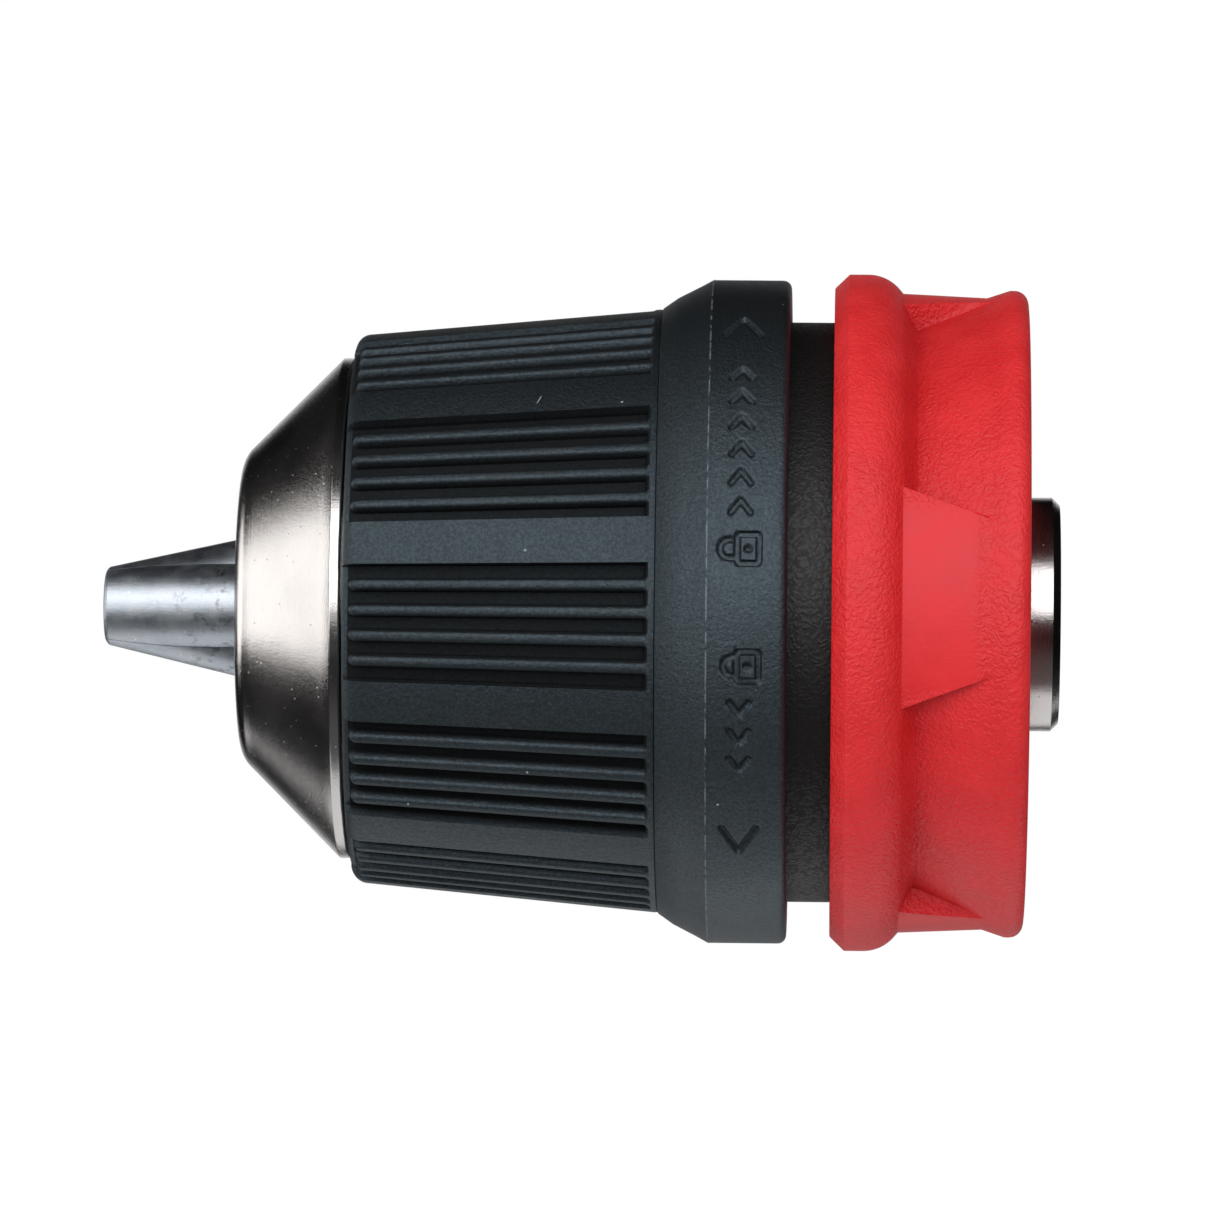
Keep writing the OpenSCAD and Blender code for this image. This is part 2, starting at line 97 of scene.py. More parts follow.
def cells(tree, vector, scale, feature="F1", smooth=None):
    """Voronoi texture node with scale in cells per mm, on a vector in mm."""
    made = node(tree, "ShaderNodeTexVoronoi", feature=feature)
    tree.links.new(vector, made.inputs["Vector"])
    made.inputs["Scale"].default_value = scale
    if smooth is not None:
        made.inputs["Smoothness"].default_value = smooth
    return made


def warp(tree, vector, scale):
    """The vector shifted by a colour noise, which makes the cells of a texture irregular."""
    shift = node(tree, "ShaderNodeTexNoise", {"Vector": vector, "Scale": scale, "Detail": 3.0})
    return node(tree, "ShaderNodeVectorMath", {0: vector, 1: shift.outputs[1]},
                operation="ADD").outputs[0]


def blend(tree, factor, a, b):
    """Mix of two colours."""
    made = node(tree, "ShaderNodeMix", data_type="RGBA")
    for socket, value in zip((made.inputs[0], made.inputs[6], made.inputs[7]), (factor, a, b)):
        if isinstance(value, bpy.types.NodeSocket):
            tree.links.new(value, socket)
        else:
            socket.default_value = value if socket is made.inputs[0] else (*value, 1.0)
    return made.outputs[2]


def total(tree, *terms):
    """Sum of (weight, socket) pairs."""
    out = None
    for weight, socket in terms:
        part = calc(tree, "MULTIPLY", socket, weight)
        out = part if out is None else calc(tree, "ADD", out, part)
    return out


class Finish:
    """A material under way: its tree, its shader and the coordinates that its textures use."""

    def __init__(self, name):
        self.material = bpy.data.materials.new(name)
        self.material.use_nodes = True
        self.tree = self.material.node_tree
        self.shader = self.tree.nodes["Principled BSDF"]
        place_of = node(self.tree, "ShaderNodeTexCoord").outputs["Object"]
        self.mm = node(self.tree, "ShaderNodeVectorMath",
                       {0: place_of, "Scale": 1 / MM}, operation="SCALE").outputs[0]
        split = node(self.tree, "ShaderNodeSeparateXYZ", {0: self.mm})
        self.x, self.y, self.z = split.outputs
        self.r = calc(self.tree, "SQRT", calc(
            self.tree, "ADD", calc(self.tree, "MULTIPLY", self.y, self.y),
            calc(self.tree, "MULTIPLY", self.z, self.z)))
        self.rings = node(self.tree, "ShaderNodeCombineXYZ",
                          {0: self.x, 1: self.r}).outputs[0]

    def put(self, **values):
        """Sets or links the shader's inputs; underscores stand for spaces."""
        for key, value in values.items():
            socket = self.shader.inputs[key.replace("_", " ")]
            if isinstance(value, bpy.types.NodeSocket):
                self.tree.links.new(value, socket)
            else:
                socket.default_value = (*value, 1.0) if isinstance(value, tuple) else value

    def bump(self, height, depth_mm, normal=None):
        """Bumps of the given depth, on top of those of an earlier bump."""
        made = node(self.tree, "ShaderNodeBump",
                    {"Strength": 1.0, "Distance": depth_mm * MM, "Height": height})
        if normal is not None:
            self.tree.links.new(normal, made.inputs["Normal"])
        self.tree.links.new(made.outputs[0], self.shader.inputs["Normal"])
        return made.outputs[0]


def metal(name, tint, rough, turned_mm=0.0, grit_mm=0.002, stain=0.12):
    """Bare or plated metal: turning lines round the axis, grit, stains and small pits."""
    f = Finish(name)
    t = f.tree
    fine = noise(t, f.rings, 9, detail=4)
    broad = noise(t, f.rings, 3.2, detail=3)
    streaks = noise(t, f.mm, 0.9, detail=3)
    grit = noise(t, f.mm, 7, detail=4, roughness=0.7)
    smudge = noise(t, f.mm, 0.16, detail=4)
    pits = ramp(t, cells(t, f.mm, 1.4).outputs["Distance"], 0.05, 0.11, 1.0, 0.0)
    lines = calc(t, "MULTIPLY", total(t, (0.5, fine), (0.5, broad)),
                 ramp(t, streaks, 0.3, 0.6, 0.55, 1.0))
    worn = ramp(t, smudge, 0.45, 0.75, 0.0, stain)
    f.put(Base_Color=blend(t, worn, tint, METAL_STAIN), Metallic=1.0,
          Roughness=total(t, (1.0, ramp(t, smudge, 0.3, 0.7, rough * 0.85, rough * 1.2)),
                          (0.08, grit), (0.1, pits)))
    first = f.bump(total(t, (1.0, grit), (-0.7, pits)), grit_mm)
    if turned_mm:
        f.bump(lines, turned_mm, first)
    return f.material


def jaw_steel():
    """Satin blue-grey steel, ground along the jaw, with scratches, pits and dull patches."""
    f = Finish("jaw_steel")
    t = f.tree
    ground = noise(t, f.mm, 9, detail=4, stretch=(0.07, 1, 1))
    scratches = noise(t, f.mm, 5, detail=2, roughness=0.7, stretch=(1, 0.12, 0.3))
    nicks = ramp(t, scratches, 0.66, 0.72)
    clouds = noise(t, f.mm, 0.7, detail=5)
    grit = noise(t, f.mm, 7, detail=3)
    tint = blend(t, ramp(t, clouds, 0.35, 0.7), (0.42, 0.46, 0.51), (0.52, 0.55, 0.585))
    stains = ramp(t, noise(t, f.mm, 1.3, detail=6, roughness=0.75, stretch=(0.7, 1, 1)), 0.52, 0.64)
    near_nose = ramp(t, f.x, -JAW_CLEAN_S, -JAW_STAINED_S, 0.15, 0.75)
    tint = blend(t, calc(t, "MULTIPLY", stains, near_nose), tint, JAW_STAIN)
    f.put(Base_Color=blend(t, calc(t, "MULTIPLY", nicks, 0.5), tint, (0.85, 0.87, 0.9)),
          Metallic=1.0,
          Roughness=total(t, (1.0, ramp(t, clouds, 0.3, 0.7, 0.34, 0.42)), (0.1, grit)))
    first = f.bump(ground, 0.010)
    f.bump(total(t, (1.0, grit), (-0.6, nicks)), 0.005, first)
    return f.material


def specks(f, scale, share, size):
    """Small dots: 1 inside the few cells that hold one."""
    t = f.tree
    dots = cells(t, f.mm, scale)
    chosen = node(t, "ShaderNodeSeparateColor", {0: dots.outputs["Color"]}).outputs[0]
    return calc(t, "MULTIPLY", ramp(t, dots.outputs["Distance"], size * 0.6, size, 1.0, 0.0),
                calc(t, "GREATER_THAN", chosen, 1 - share))


def groove_share(f):
    """0 on the sleeve's lands and outside the grooves, rising to 1 on the groove floors; it masks
    the painted shade of the groove floors, their greater roughness and their weaker specular level.
    """
    t = f.tree
    slope = (SLEEVE_REAR_R - SLEEVE_FRONT_R) / (SLEEVE_CORNER_S - SLEEVE_REAR_S)
    cone = calc(t, "ADD", calc(t, "MULTIPLY", calc(t, "ADD", f.x, SLEEVE_REAR_S), slope),
                SLEEVE_REAR_R)
    inside = calc(t, "MULTIPLY", calc(t, "LESS_THAN", f.x, -GROOVE_REAR_S),
                  calc(t, "GREATER_THAN", f.x, -FLOOR_ROUND_S))
    return calc(t, "MULTIPLY", ramp(t, calc(t, "SUBTRACT", cone, f.r), 0.3, 0.75), inside)


def scratch(f):
    """One short slanted scratch on the sleeve."""
    t = f.tree
    up = calc(t, "ADD", f.z, -SCRATCH_UP)
    across = calc(t, "ABSOLUTE", calc(t, "ADD", calc(t, "ADD", f.x, SCRATCH_S),
                                      calc(t, "MULTIPLY", up, -SCRATCH_SLANT)))
    line = calc(t, "MULTIPLY", ramp(t, across, 0.01, 0.045, 0.6, 0.0),
                ramp(t, calc(t, "ABSOLUTE", up), 0.16, 0.28, 1.0, 0.0))
    return calc(t, "MULTIPLY", line, calc(t, "LESS_THAN", f.y, 0.0))


def edge_highlight(f):
    """Painted highlight: a thin light line along the collar's edge between cylinder and cone, broken
    into patches by noise.
    """
    t = f.tree
    away = calc(t, "ABSOLUTE", calc(t, "ADD", f.x, COLLAR_EDGE_S))
    return calc(t, "MULTIPLY", ramp(t, away, 0.02, 0.07, 0.2, 0.0),
                ramp(t, noise(t, f.mm, 1.6, detail=3), 0.4, 0.55))


def black_plastic():
    """Grained black plastic: rougher in the grooves, whose floors get painted shade, with dust,
    rubbed patches, a painted highlight along the collar's edge and a scratch.
    """
    f = Finish("black_plastic")
    t = f.tree
    grain = noise(t, f.mm, 3.6, detail=5, roughness=0.7)
    fine = noise(t, f.mm, 7.5, detail=4, roughness=0.75)
    rubbed = noise(t, f.mm, 0.12, detail=5, roughness=0.6)
    groove = groove_share(f)
    dust = calc(t, "MULTIPLY", specks(f, 0.5, 0.3, 0.05), 0.5)
    # marks: dust, the scratch and the painted highlight along the collar's edge, all in one pale
    # colour
    marks = calc(t, "MAXIMUM", calc(t, "MAXIMUM", dust, edge_highlight(f)), scratch(f))
    shine = ramp(t, f.x, -SLEEVE_REAR_S - 0.1, -SLEEVE_REAR_S + 0.1, 0.80, 0.98)
    uneven = ramp(t, noise(t, f.mm, 5, detail=4, roughness=0.75), 0.36, 0.66, 0.74, 1.24)
    base = blend(t, ramp(t, rubbed, 0.35, 0.75), (0.0045, 0.0042, 0.0042), (0.0068, 0.0068, 0.007))
    # painted shade: the groove floors get a darker base colour, standing for the shade that falls in
    # them
    base = blend(t, groove, base, (0.0038, 0.0031, 0.0026))
    f.put(Base_Color=blend(t, marks, base, PALE_MARKS_AND_HIGHLIGHT),
          Roughness=total(t, (1.0, ramp(t, rubbed, 0.3, 0.75, 0.41, 0.36)), (0.12, fine),
                          (0.2, groove)),
          Specular_IOR_Level=calc(t, "MULTIPLY", ramp(t, groove, 0.0, 1.0, shine, 0.22), uneven),
          Specular_Tint=(0.65, 0.86, 1.0))
    first = f.bump(grain, 0.075)
    f.bump(total(t, (1.0, fine), (0.4, marks)), 0.022, first)
    return f.material


def cover_plastic():
    """Near-black plastic with a coarse leather grain."""
    f = Finish("cover_plastic")
    t = f.tree
    leather = cells(t, warp(t, f.mm, 1.1), 3.6, feature="SMOOTH_F1",
                    smooth=0.5).outputs["Distance"]
    grain = noise(t, f.mm, 7, detail=3)
    height = total(t, (-1.0, ramp(t, leather, 0.15, 0.75)), (0.3, grain))
    f.put(Base_Color=blend(t, ramp(t, leather, 0.3, 0.7), (0.005, 0.005, 0.005),
                           (0.0025, 0.0025, 0.003)),
          Roughness=total(t, (1.0, ramp(t, leather, 0.3, 0.8, 0.44, 0.6)), (0.1, grain)))
    f.bump(height, 0.02)
    return f.material


def red_plastic():
    """Eroded grain everywhere but on the middle of each land, which is nearly smooth."""
    f = Finish("red_plastic")
    t = f.tree
    turn = calc(t, "ARCTAN2", f.z, calc(t, "MULTIPLY", f.y, -1.0))
    on_land = calc(t, "COSINE", calc(t, "MULTIPLY", calc(t, "SUBTRACT", turn, math.radians(LAND_AT)),
                                     float(LANDS)))
    between = calc(t, "MULTIPLY", ramp(t, f.x, -SMOOTH_REAR_S, 1 - SMOOTH_REAR_S, 1.0, 0.0),
                   ramp(t, f.x, -SMOOTH_FRONT_S, 0.3 - SMOOTH_FRONT_S))
    smooth = calc(t, "MULTIPLY", ramp(t, on_land, 0.25, 0.55), between)
    smooth = calc(t, "MULTIPLY", smooth, ramp(t, f.r, SMOOTH_R - 0.3, SMOOTH_R))
    eroded = cells(t, warp(t, f.mm, 1.7), 3.4, feature="SMOOTH_F1",
                   smooth=0.5).outputs["Distance"]
    grain = noise(t, f.mm, 5.5, detail=4, roughness=0.6)
    height = total(t, (-0.8, ramp(t, eroded, 0.1, 0.8)), (0.7, grain))
    kept = ramp(t, smooth, 0.0, 1.0, 1.0, 0.12)
    streaks = noise(t, f.mm, 6, detail=3, stretch=(0.15, 1, 1))
    mottle = noise(t, f.mm, 0.35, detail=4)
    f.put(Base_Color=blend(t, ramp(t, mottle, 0.3, 0.7), (0.43, 0.0068, 0.0076),
                           (0.48, 0.0088, 0.0096)),
          Roughness=total(t, (1.0, ramp(t, mottle, 0.3, 0.7, 0.4, 0.5)), (0.08, grain)),
          Specular_IOR_Level=0.38, Specular_Tint=(0.85, 0.88, 1.0))
    first = f.bump(calc(t, "MULTIPLY", height, kept), 0.055)
    f.bump(streaks, 0.004, first)
    return f.material


# ---------------------------------------------------------------- mesh helpers

def arc(cs, cr, radius, first, last, steps=6):
    """Points round (cs, cr); 0 degrees points off the axis and 90 towards the nose."""
    return [(cs + radius * math.sin(math.radians(a)), cr + radius * math.cos(math.radians(a)))
            for a in np.linspace(first, last, steps + 1)]


def rows(s0, r0, s1, r1, step):
    """Points along a straight line, at most step mm apart, without the first."""
    count = max(1, math.ceil(math.hypot(s1 - s0, r1 - r0) / step))
    return [(s0 + (s1 - s0) * k / count, r0 + (r1 - r0) * k / count) for k in range(1, count + 1)]


def even(step):
    """Angles all the way round, about step degrees apart."""
    return np.arange(round(360 / step)) * step


def turned(name, body, nodes, slot, outline, angles, sink=None, swing=None, sharp=35):
    """A closed ring about the axis, whose section is outline, that stands for CAD nodes."""
    s, r = np.array(outline, float).T
    n, m = len(s), len(angles)
    S, A = np.meshgrid(s, np.array(angles, float), indexing="ij")
    R = np.repeat(r[:, None], m, axis=1)
    if swing:
        A = swing(S, A)
    if sink:
        R = R - sink(S, R, A)
    a = np.radians(A)
    verts = np.stack([-S, -R * np.cos(a), R * np.sin(a)], -1).reshape(-1, 3) * MM
    i, j = np.meshgrid(np.arange(n), np.arange(m), indexing="ij")
    i2, j2 = (i + 1) % n, (j + 1) % m
    faces = np.stack([i * m + j, i * m + j2, i2 * m + j2, i2 * m + j], -1).reshape(-1, 4)
    mesh = bpy.data.meshes.new(name)
    mesh.from_pydata(verts.tolist(), [], faces.tolist())
    piece = finish_piece(name, mesh, nodes, slot, sharp)
    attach(piece, body)


def coil(name, nodes, slot, rear, front, wire_r, turns, sides=12, steps=48):
    """A conical spring, whose wire's centre runs from rear to front, both (s, r)."""
    count = turns * steps + 1
    share = np.linspace(0, 1, count)[:, None]
    round_wire = 2 * math.pi * np.arange(sides) / sides
    s = rear[0] + (front[0] - rear[0]) * share + wire_r * np.sin(round_wire)
    r = rear[1] + (front[1] - rear[1]) * share + wire_r * np.cos(round_wire)
    a = 2 * math.pi * (turns * share + 0.25)
    verts = np.stack([-s, -r * np.cos(a), r * np.sin(a)], -1).reshape(-1, 3) * MM
    faces = [(i * sides + j, i * sides + (j + 1) % sides,
              (i + 1) * sides + (j + 1) % sides, (i + 1) * sides + j)
             for i in range(count - 1) for j in range(sides)]
    faces += [tuple(range(sides)), tuple(range((count - 1) * sides, count * sides))]
    mesh = bpy.data.meshes.new(name)
    mesh.from_pydata(verts.tolist(), [], faces)
    return finish_piece(name, mesh, nodes, slot, 40)


def finish_piece(name, mesh, nodes, slot, sharp):
    """Turns a mesh's faces outwards, shades it, and lets it stand for its CAD nodes."""
    work = bmesh.new()
    work.from_mesh(mesh)
    bmesh.ops.recalc_face_normals(work, faces=work.faces)
    work.to_mesh(mesh)
    work.free()
    mesh.shade_smooth()
    mesh.set_sharp_from_angle(angle=math.radians(sharp))
    piece = bpy.data.objects.new(name, mesh)
    bpy.context.scene.collection.objects.link(piece)
    mesh.materials.append(SLOT_MATERIALS[slot])
    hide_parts(*nodes)
    return piece


# ---------------------------------------------------------------- sizes, in mm and degrees

# nosepiece
NOSE_SEAT_S, NOSE_REAR_S, NOSE_RIM_S, NOSE_FRONT_S = 40.5, 46.5, 47.1, 53.8
NOSE_BARREL_R, NOSE_RIM_R, NOSE_MOUTH_R = 13.9, 16.5, 5.6
NOSE_ROUND, NOSE_FACE_R = 2.2, 8.98        # rounding between cone and front face; where it ends
NOSE_CONE = (47.24, 16.44, 53.1, 10.58)    # s and r at the cone's two ends
RIM_EDGE_REAR, RIM_EDGE, MOUTH_EDGE = 0.18, 0.2, 0.15
SPIGOT_R, SPIGOT_STEP_S, NOSE_SPIGOT_R, BODY_FRONT_S = 11.3, 47.5, 9.0, 52

# rear cover
COVER_REAR_S, BODY_REAR_S, COVER_FRONT_S = 13.8, 15.2, 19.4
COVER_R, COVER_BORE_R, COVER_HOLE_R, COVER_EDGE = 19.1, 17.02, 7.9, 0.3

# grip sleeve
SLEEVE_BACK_S, SLEEVE_REAR_S, SLEEVE_CORNER_S, SLEEVE_FRONT_S = 20, 26.2, 45.3, 46.35
SLEEVE_REAR_R, SLEEVE_FRONT_R = 19.9, 18.15
SLEEVE_ROUND = SLEEVE_FRONT_S - SLEEVE_CORNER_S
SLEEVE_SPIGOT_R, SLEEVE_BORE_R, SLEEVE_MID_R, SLEEVE_LIP_R = 19.38, 17.35, 16.2, 14.2
SLEEVE_LIP_S = 44.8
DOG_ROOM_R, DOG_ROOM_S, PAWL_ROOM_R, PAWL_ROOM_S = 16.95, 40, 17.9, (27.1, 31)
DOG_AT, DOG_HALF, DOG_R, DOG_S = 162.5, 30, 16.25, (33.3, 36.7)     # the driving dogs inside
GROUPS, GROOVES, GROOVE_STEP = 11, 5, 5.25
GROUP_STEP = 360 / GROUPS
GROOVE_HALF = 1.4                          # half a groove's angle
SLEEVE_LAND_AT = 13.4                      # middle of one land between two groups
GROOVE_REAR_S, GROOVE_END = 26.62, 0.32    # where the grooves start, and how long that takes
FLOOR_SINK = 0.8                           # depth of the groove floors under the lands
RIDGE_HALF = 1.46                          # half a ridge's angle
RIDGE_RISE = 0.72                          # height of a ridge above the floor
RIDGE_SQUARE = 5.0                         # how flat a ridge's top is
RIDGE_TIP_S, RIDGE_TIP = 45.38, 0.56       # where a ridge's rounded front end starts; its length
FLOOR_ROUND_S, FLOOR_ROUND = 45.95, 0.42   # rounding of the groove floor into the front face
WALL_WIDTH = 0.2                           # angle that the wall of a land takes
WALL_ANGLES = (0.0, 0.1, 0.22, 0.5)        # angles off the wall of a land that get a column
RIDGE_ANGLES = (0.0, 0.5, 0.9, 1.15, 1.31, 1.4, 1.46, 1.58)
SCRATCH_S, SCRATCH_UP, SCRATCH_SLANT = 33.9, 13.55, 0.55

# locking collar and its marks
COLLAR_REAR_S, COLLAR_FRONT_S, COLLAR_EDGE_S = 17.75, 26.2, 22.88
COLLAR_R, COLLAR_BORE_R, COLLAR_ROUND = 21.85, 19.4, 0.55
BAND_REAR_S, BAND_FRONT_S, BAND_STEP = 19.2, 22.3, 0.1      # rows that are dense for the marks
COLLAR_CONE = (22.94, 21.80, 25.2, 20.65)  # s and r at the two ends of the cone in front
MARK_S, MARK_DEPTH, STROKE = 20.75, 0.28, 0.38
MARK_HALF = 1.6                            # half the width of the band that holds the marks
MARK_SPAN = (-47.0, 62.0)                  # angles that one set of marks takes up
CLOSED_AT, OPEN_AT = -9.2, 10.6            # the closed and the open padlock
SHACKLE_LIFT = 0.26                        # how far the open padlock's shackle is drawn out
LOCK_ARROW, UNLOCK_ARROW = -42.0, 57.5
LOCK_STEPS = (-16.5, -21.5, -26.5)
UNLOCK_STEPS = (18.0, 23.3, 28.6, 33.9, 39.2, 44.5)
BIG_ARROW, SMALL_ARROW = (1.0, 1.1), (0.42, 0.62)   # half length and half width of an arrow
FAR = 9.0                                  # a distance too great to mark anything

# release ring
RING_REAR_S, RING_BAND_S, RING_FRONT_S = 2.2, 3.4, 14.9
RING_REAR_R, RING_REAR_ROUND, RING_BAND_R = 21.3, 0.9, 20.9
LANDS, LAND_AT = 4, 2.85                   # lands of the release ring, and the middle of one
LAND_REAR, LAND_FRONT = 13.9, 19.7         # half a land's angle at the scoop's rear and front
SCOOP_REAR_S, SCOOP_FLOOR_S, SCOOP_WALL_S = 4.6, 9.45, 10.4
SCOOP_STEP = 0.05                          # step down from the flare to a scoop's floor
SIDE_ANGLE, SIDE_POWER, RISE_POWER = 0.55, 2.2, 1.25     # shape of a scoop's side and front wall
FOOT_S, FOOT_R, FLARE = 4.9, 20.8, 1 / 3   # foot of the ring's flare, and its slope
LAND_R, LAND_REAR_R = 21.05, 21.01
RIM_CURVE_S, RIM_CURVE_R, RIM_CURVE = 12.7, 19.6, 2.69   # the curve from a land up to the rim
RING_BORE_R, RING_CAVITY_R, RING_BOSS_R, RING_HUB_R = 19.3, 17.5, 12.6, 10.8
RING_WEB_S, RING_BOSS_S = 7, 8.8
SMOOTH_REAR_S, SMOOTH_FRONT_S, SMOOTH_R = 6.2, 10.6, 20.6   # the nearly smooth part of a land

# release spring
SPRING_REAR_S, SPRING_FRONT_S, SPRING_REAR_R, SPRING_FRONT_R = 8.8, 13.2, 9.55, 11.8
WIRE_R, SPRING_TURNS = 0.35, 3

# worn edges of the jaws: distance of points that are joined, width, and least angle of an edge
JAW_WELD, JAW_EDGE, JAW_EDGE_ANGLE = 0.002, 0.15, 25

# colours of wear and stains on metal, of dust, scratches and the painted edge highlight on the
# plastic, and where the jaws are stained
METAL_STAIN, JAW_STAIN, PALE_MARKS_AND_HIGHLIGHT = (0.3, 0.24, 0.2), (0.13, 0.15, 0.17), (0.35, 0.37, 0.38)
JAW_CLEAN_S, JAW_STAINED_S = 60.0, 54.5


# ---------------------------------------------------------------- materials

SLOT_MATERIALS = {
    "turned_steel": metal("turned_steel", (0.56, 0.57, 0.58), 0.3, turned_mm=0.006),
    "nickel": metal("nickel", (0.595, 0.573, 0.566), 0.16, turned_mm=0.006, grit_mm=0.009,
                    stain=0.05),
    "jaw_steel": jaw_steel(),
    "hardened_steel": metal("hardened_steel", (0.40, 0.41, 0.43), 0.42, grit_mm=0.006),
    "brass": metal("brass", (0.72, 0.56, 0.28), 0.32, turned_mm=0.004),
    "black_plastic": black_plastic(),
    "cover_plastic": cover_plastic(),
    "red_plastic": red_plastic(),
}


# ---------------------------------------------------------------- nosepiece, cover

turned("nosepiece_shell", "chuck", ["nosepiece"], "nickel", [
    (NOSE_SEAT_S, SPIGOT_R), (NOSE_SEAT_S, NOSE_BARREL_R), (NOSE_REAR_S, NOSE_BARREL_R),
    (NOSE_REAR_S, NOSE_RIM_R - RIM_EDGE),
    *arc(NOSE_REAR_S + RIM_EDGE_REAR, NOSE_RIM_R - RIM_EDGE_REAR, RIM_EDGE_REAR, -90, 0, 3),
    *arc(NOSE_RIM_S, NOSE_RIM_R - RIM_EDGE, RIM_EDGE, 0, 45, 3),
    *rows(*NOSE_CONE, 0.8),
    *arc(NOSE_FRONT_S - NOSE_ROUND, NOSE_FACE_R, NOSE_ROUND, 45, 90, 9),
    *arc(NOSE_FRONT_S - MOUTH_EDGE, NOSE_MOUTH_R + 0.7, MOUTH_EDGE, 90, 135, 2),
    *arc(NOSE_FRONT_S - 0.6, NOSE_MOUTH_R + MOUTH_EDGE, MOUTH_EDGE, 135, 180, 2),
    (BODY_FRONT_S, NOSE_MOUTH_R), (BODY_FRONT_S, NOSE_SPIGOT_R),
    (SPIGOT_STEP_S, NOSE_SPIGOT_R), (SPIGOT_STEP_S, SPIGOT_R),
], even(1.5), sharp=40)

turned("rear_cover_shell", "chuck", ["rear_cover"], "cover_plastic", [
    (COVER_REAR_S, COVER_HOLE_R),
    *arc(COVER_REAR_S + COVER_EDGE, COVER_R - COVER_EDGE, COVER_EDGE, -90, 0, 4),
    *rows(COVER_REAR_S + COVER_EDGE, COVER_R, COVER_FRONT_S, COVER_R, 1.4),
    (COVER_FRONT_S, COVER_BORE_R), (BODY_REAR_S, COVER_BORE_R), (BODY_REAR_S, COVER_HOLE_R),
], even(1.5))


# ---------------------------------------------------------------- grip sleeve

def sleeve_cone(s):
    """Radius of the sleeve's cone, at the lands."""
    share = (s - SLEEVE_REAR_S) / (SLEEVE_CORNER_S - SLEEVE_REAR_S)
    return SLEEVE_REAR_R + (SLEEVE_FRONT_R - SLEEVE_REAR_R) * share


def sleeve_angles():
    """Angles dense over every ridge and beside every wall of a land."""
    out = []
    reach = ((GROOVES - 1) / 2) * GROOVE_STEP + GROOVE_HALF
    for g in range(GROUPS):
        middle = SLEEVE_LAND_AT + (g + 0.5) * GROUP_STEP
        for k in range(GROOVES - 1):
            ridge = middle + (k - (GROOVES - 2) / 2) * GROOVE_STEP
            out += [ridge + side * a for a in RIDGE_ANGLES for side in (-1, 1) if a or side > 0]
        for side in (-1, 1):
            out += [middle + side * (reach + turn * a) for a in WALL_ANGLES for turn in (-1, 1)
                    if a or turn > 0]
        out += [middle + (k - (GROOVES - 1) / 2) * GROOVE_STEP for k in range(GROOVES)]
        out += list(np.linspace(middle + reach + 0.5, middle + GROUP_STEP - reach - 0.5, 8)[1:-1])
    return sorted(out)


def sleeve_sink(S, R, A):
    """How far the groove floors, the lower ridges and the driving dogs lie under the lands."""
    off = (A - SLEEVE_LAND_AT) % GROUP_STEP - GROUP_STEP / 2
    reach = ((GROOVES - 1) / 2) * GROOVE_STEP + GROOVE_HALF
    count = GROOVES - 1
    index = np.clip(np.round(off / GROOVE_STEP + (count - 1) / 2), 0, count - 1)
    from_ridge = np.abs(off - (index - (count - 1) / 2) * GROOVE_STEP)
    past_tip = np.clip((S - RIDGE_TIP_S) / RIDGE_TIP, 0, 9)
    share = np.clip(np.hypot(from_ridge / RIDGE_HALF, past_tip), 0, 1)
    ridge = RIDGE_RISE * (1 - share ** RIDGE_SQUARE)
    wall = np.clip((reach - np.abs(off)) / WALL_WIDTH + 0.5, 0, 1)
    rounded = np.clip(S - FLOOR_ROUND_S, 0, FLOOR_ROUND)
    rounded = FLOOR_ROUND - np.sqrt(np.maximum(FLOOR_ROUND ** 2 - rounded ** 2, 0))
    opened = np.clip((S - GROOVE_REAR_S) / GROOVE_END, 0, 1)
    opened = opened * opened * (3 - 2 * opened)
    floor = sleeve_cone(S) - FLOOR_SINK - rounded + ridge
    low = np.minimum(R - (FLOOR_SINK - RIDGE_RISE) * (share < 1), floor)
    outside = (S >= GROOVE_REAR_S) & (R > sleeve_cone(S) - 1.2)
    sunk = np.where(outside, np.maximum(R - low, 0) * opened * wall, 0)
    dog = np.abs((A - DOG_AT + 60) % 120 - 60) < DOG_HALF
    dog = dog & (S >= DOG_S[0]) & (S <= DOG_S[1]) & (R <= DOG_ROOM_R)
    return np.where(dog, R - DOG_R, sunk)


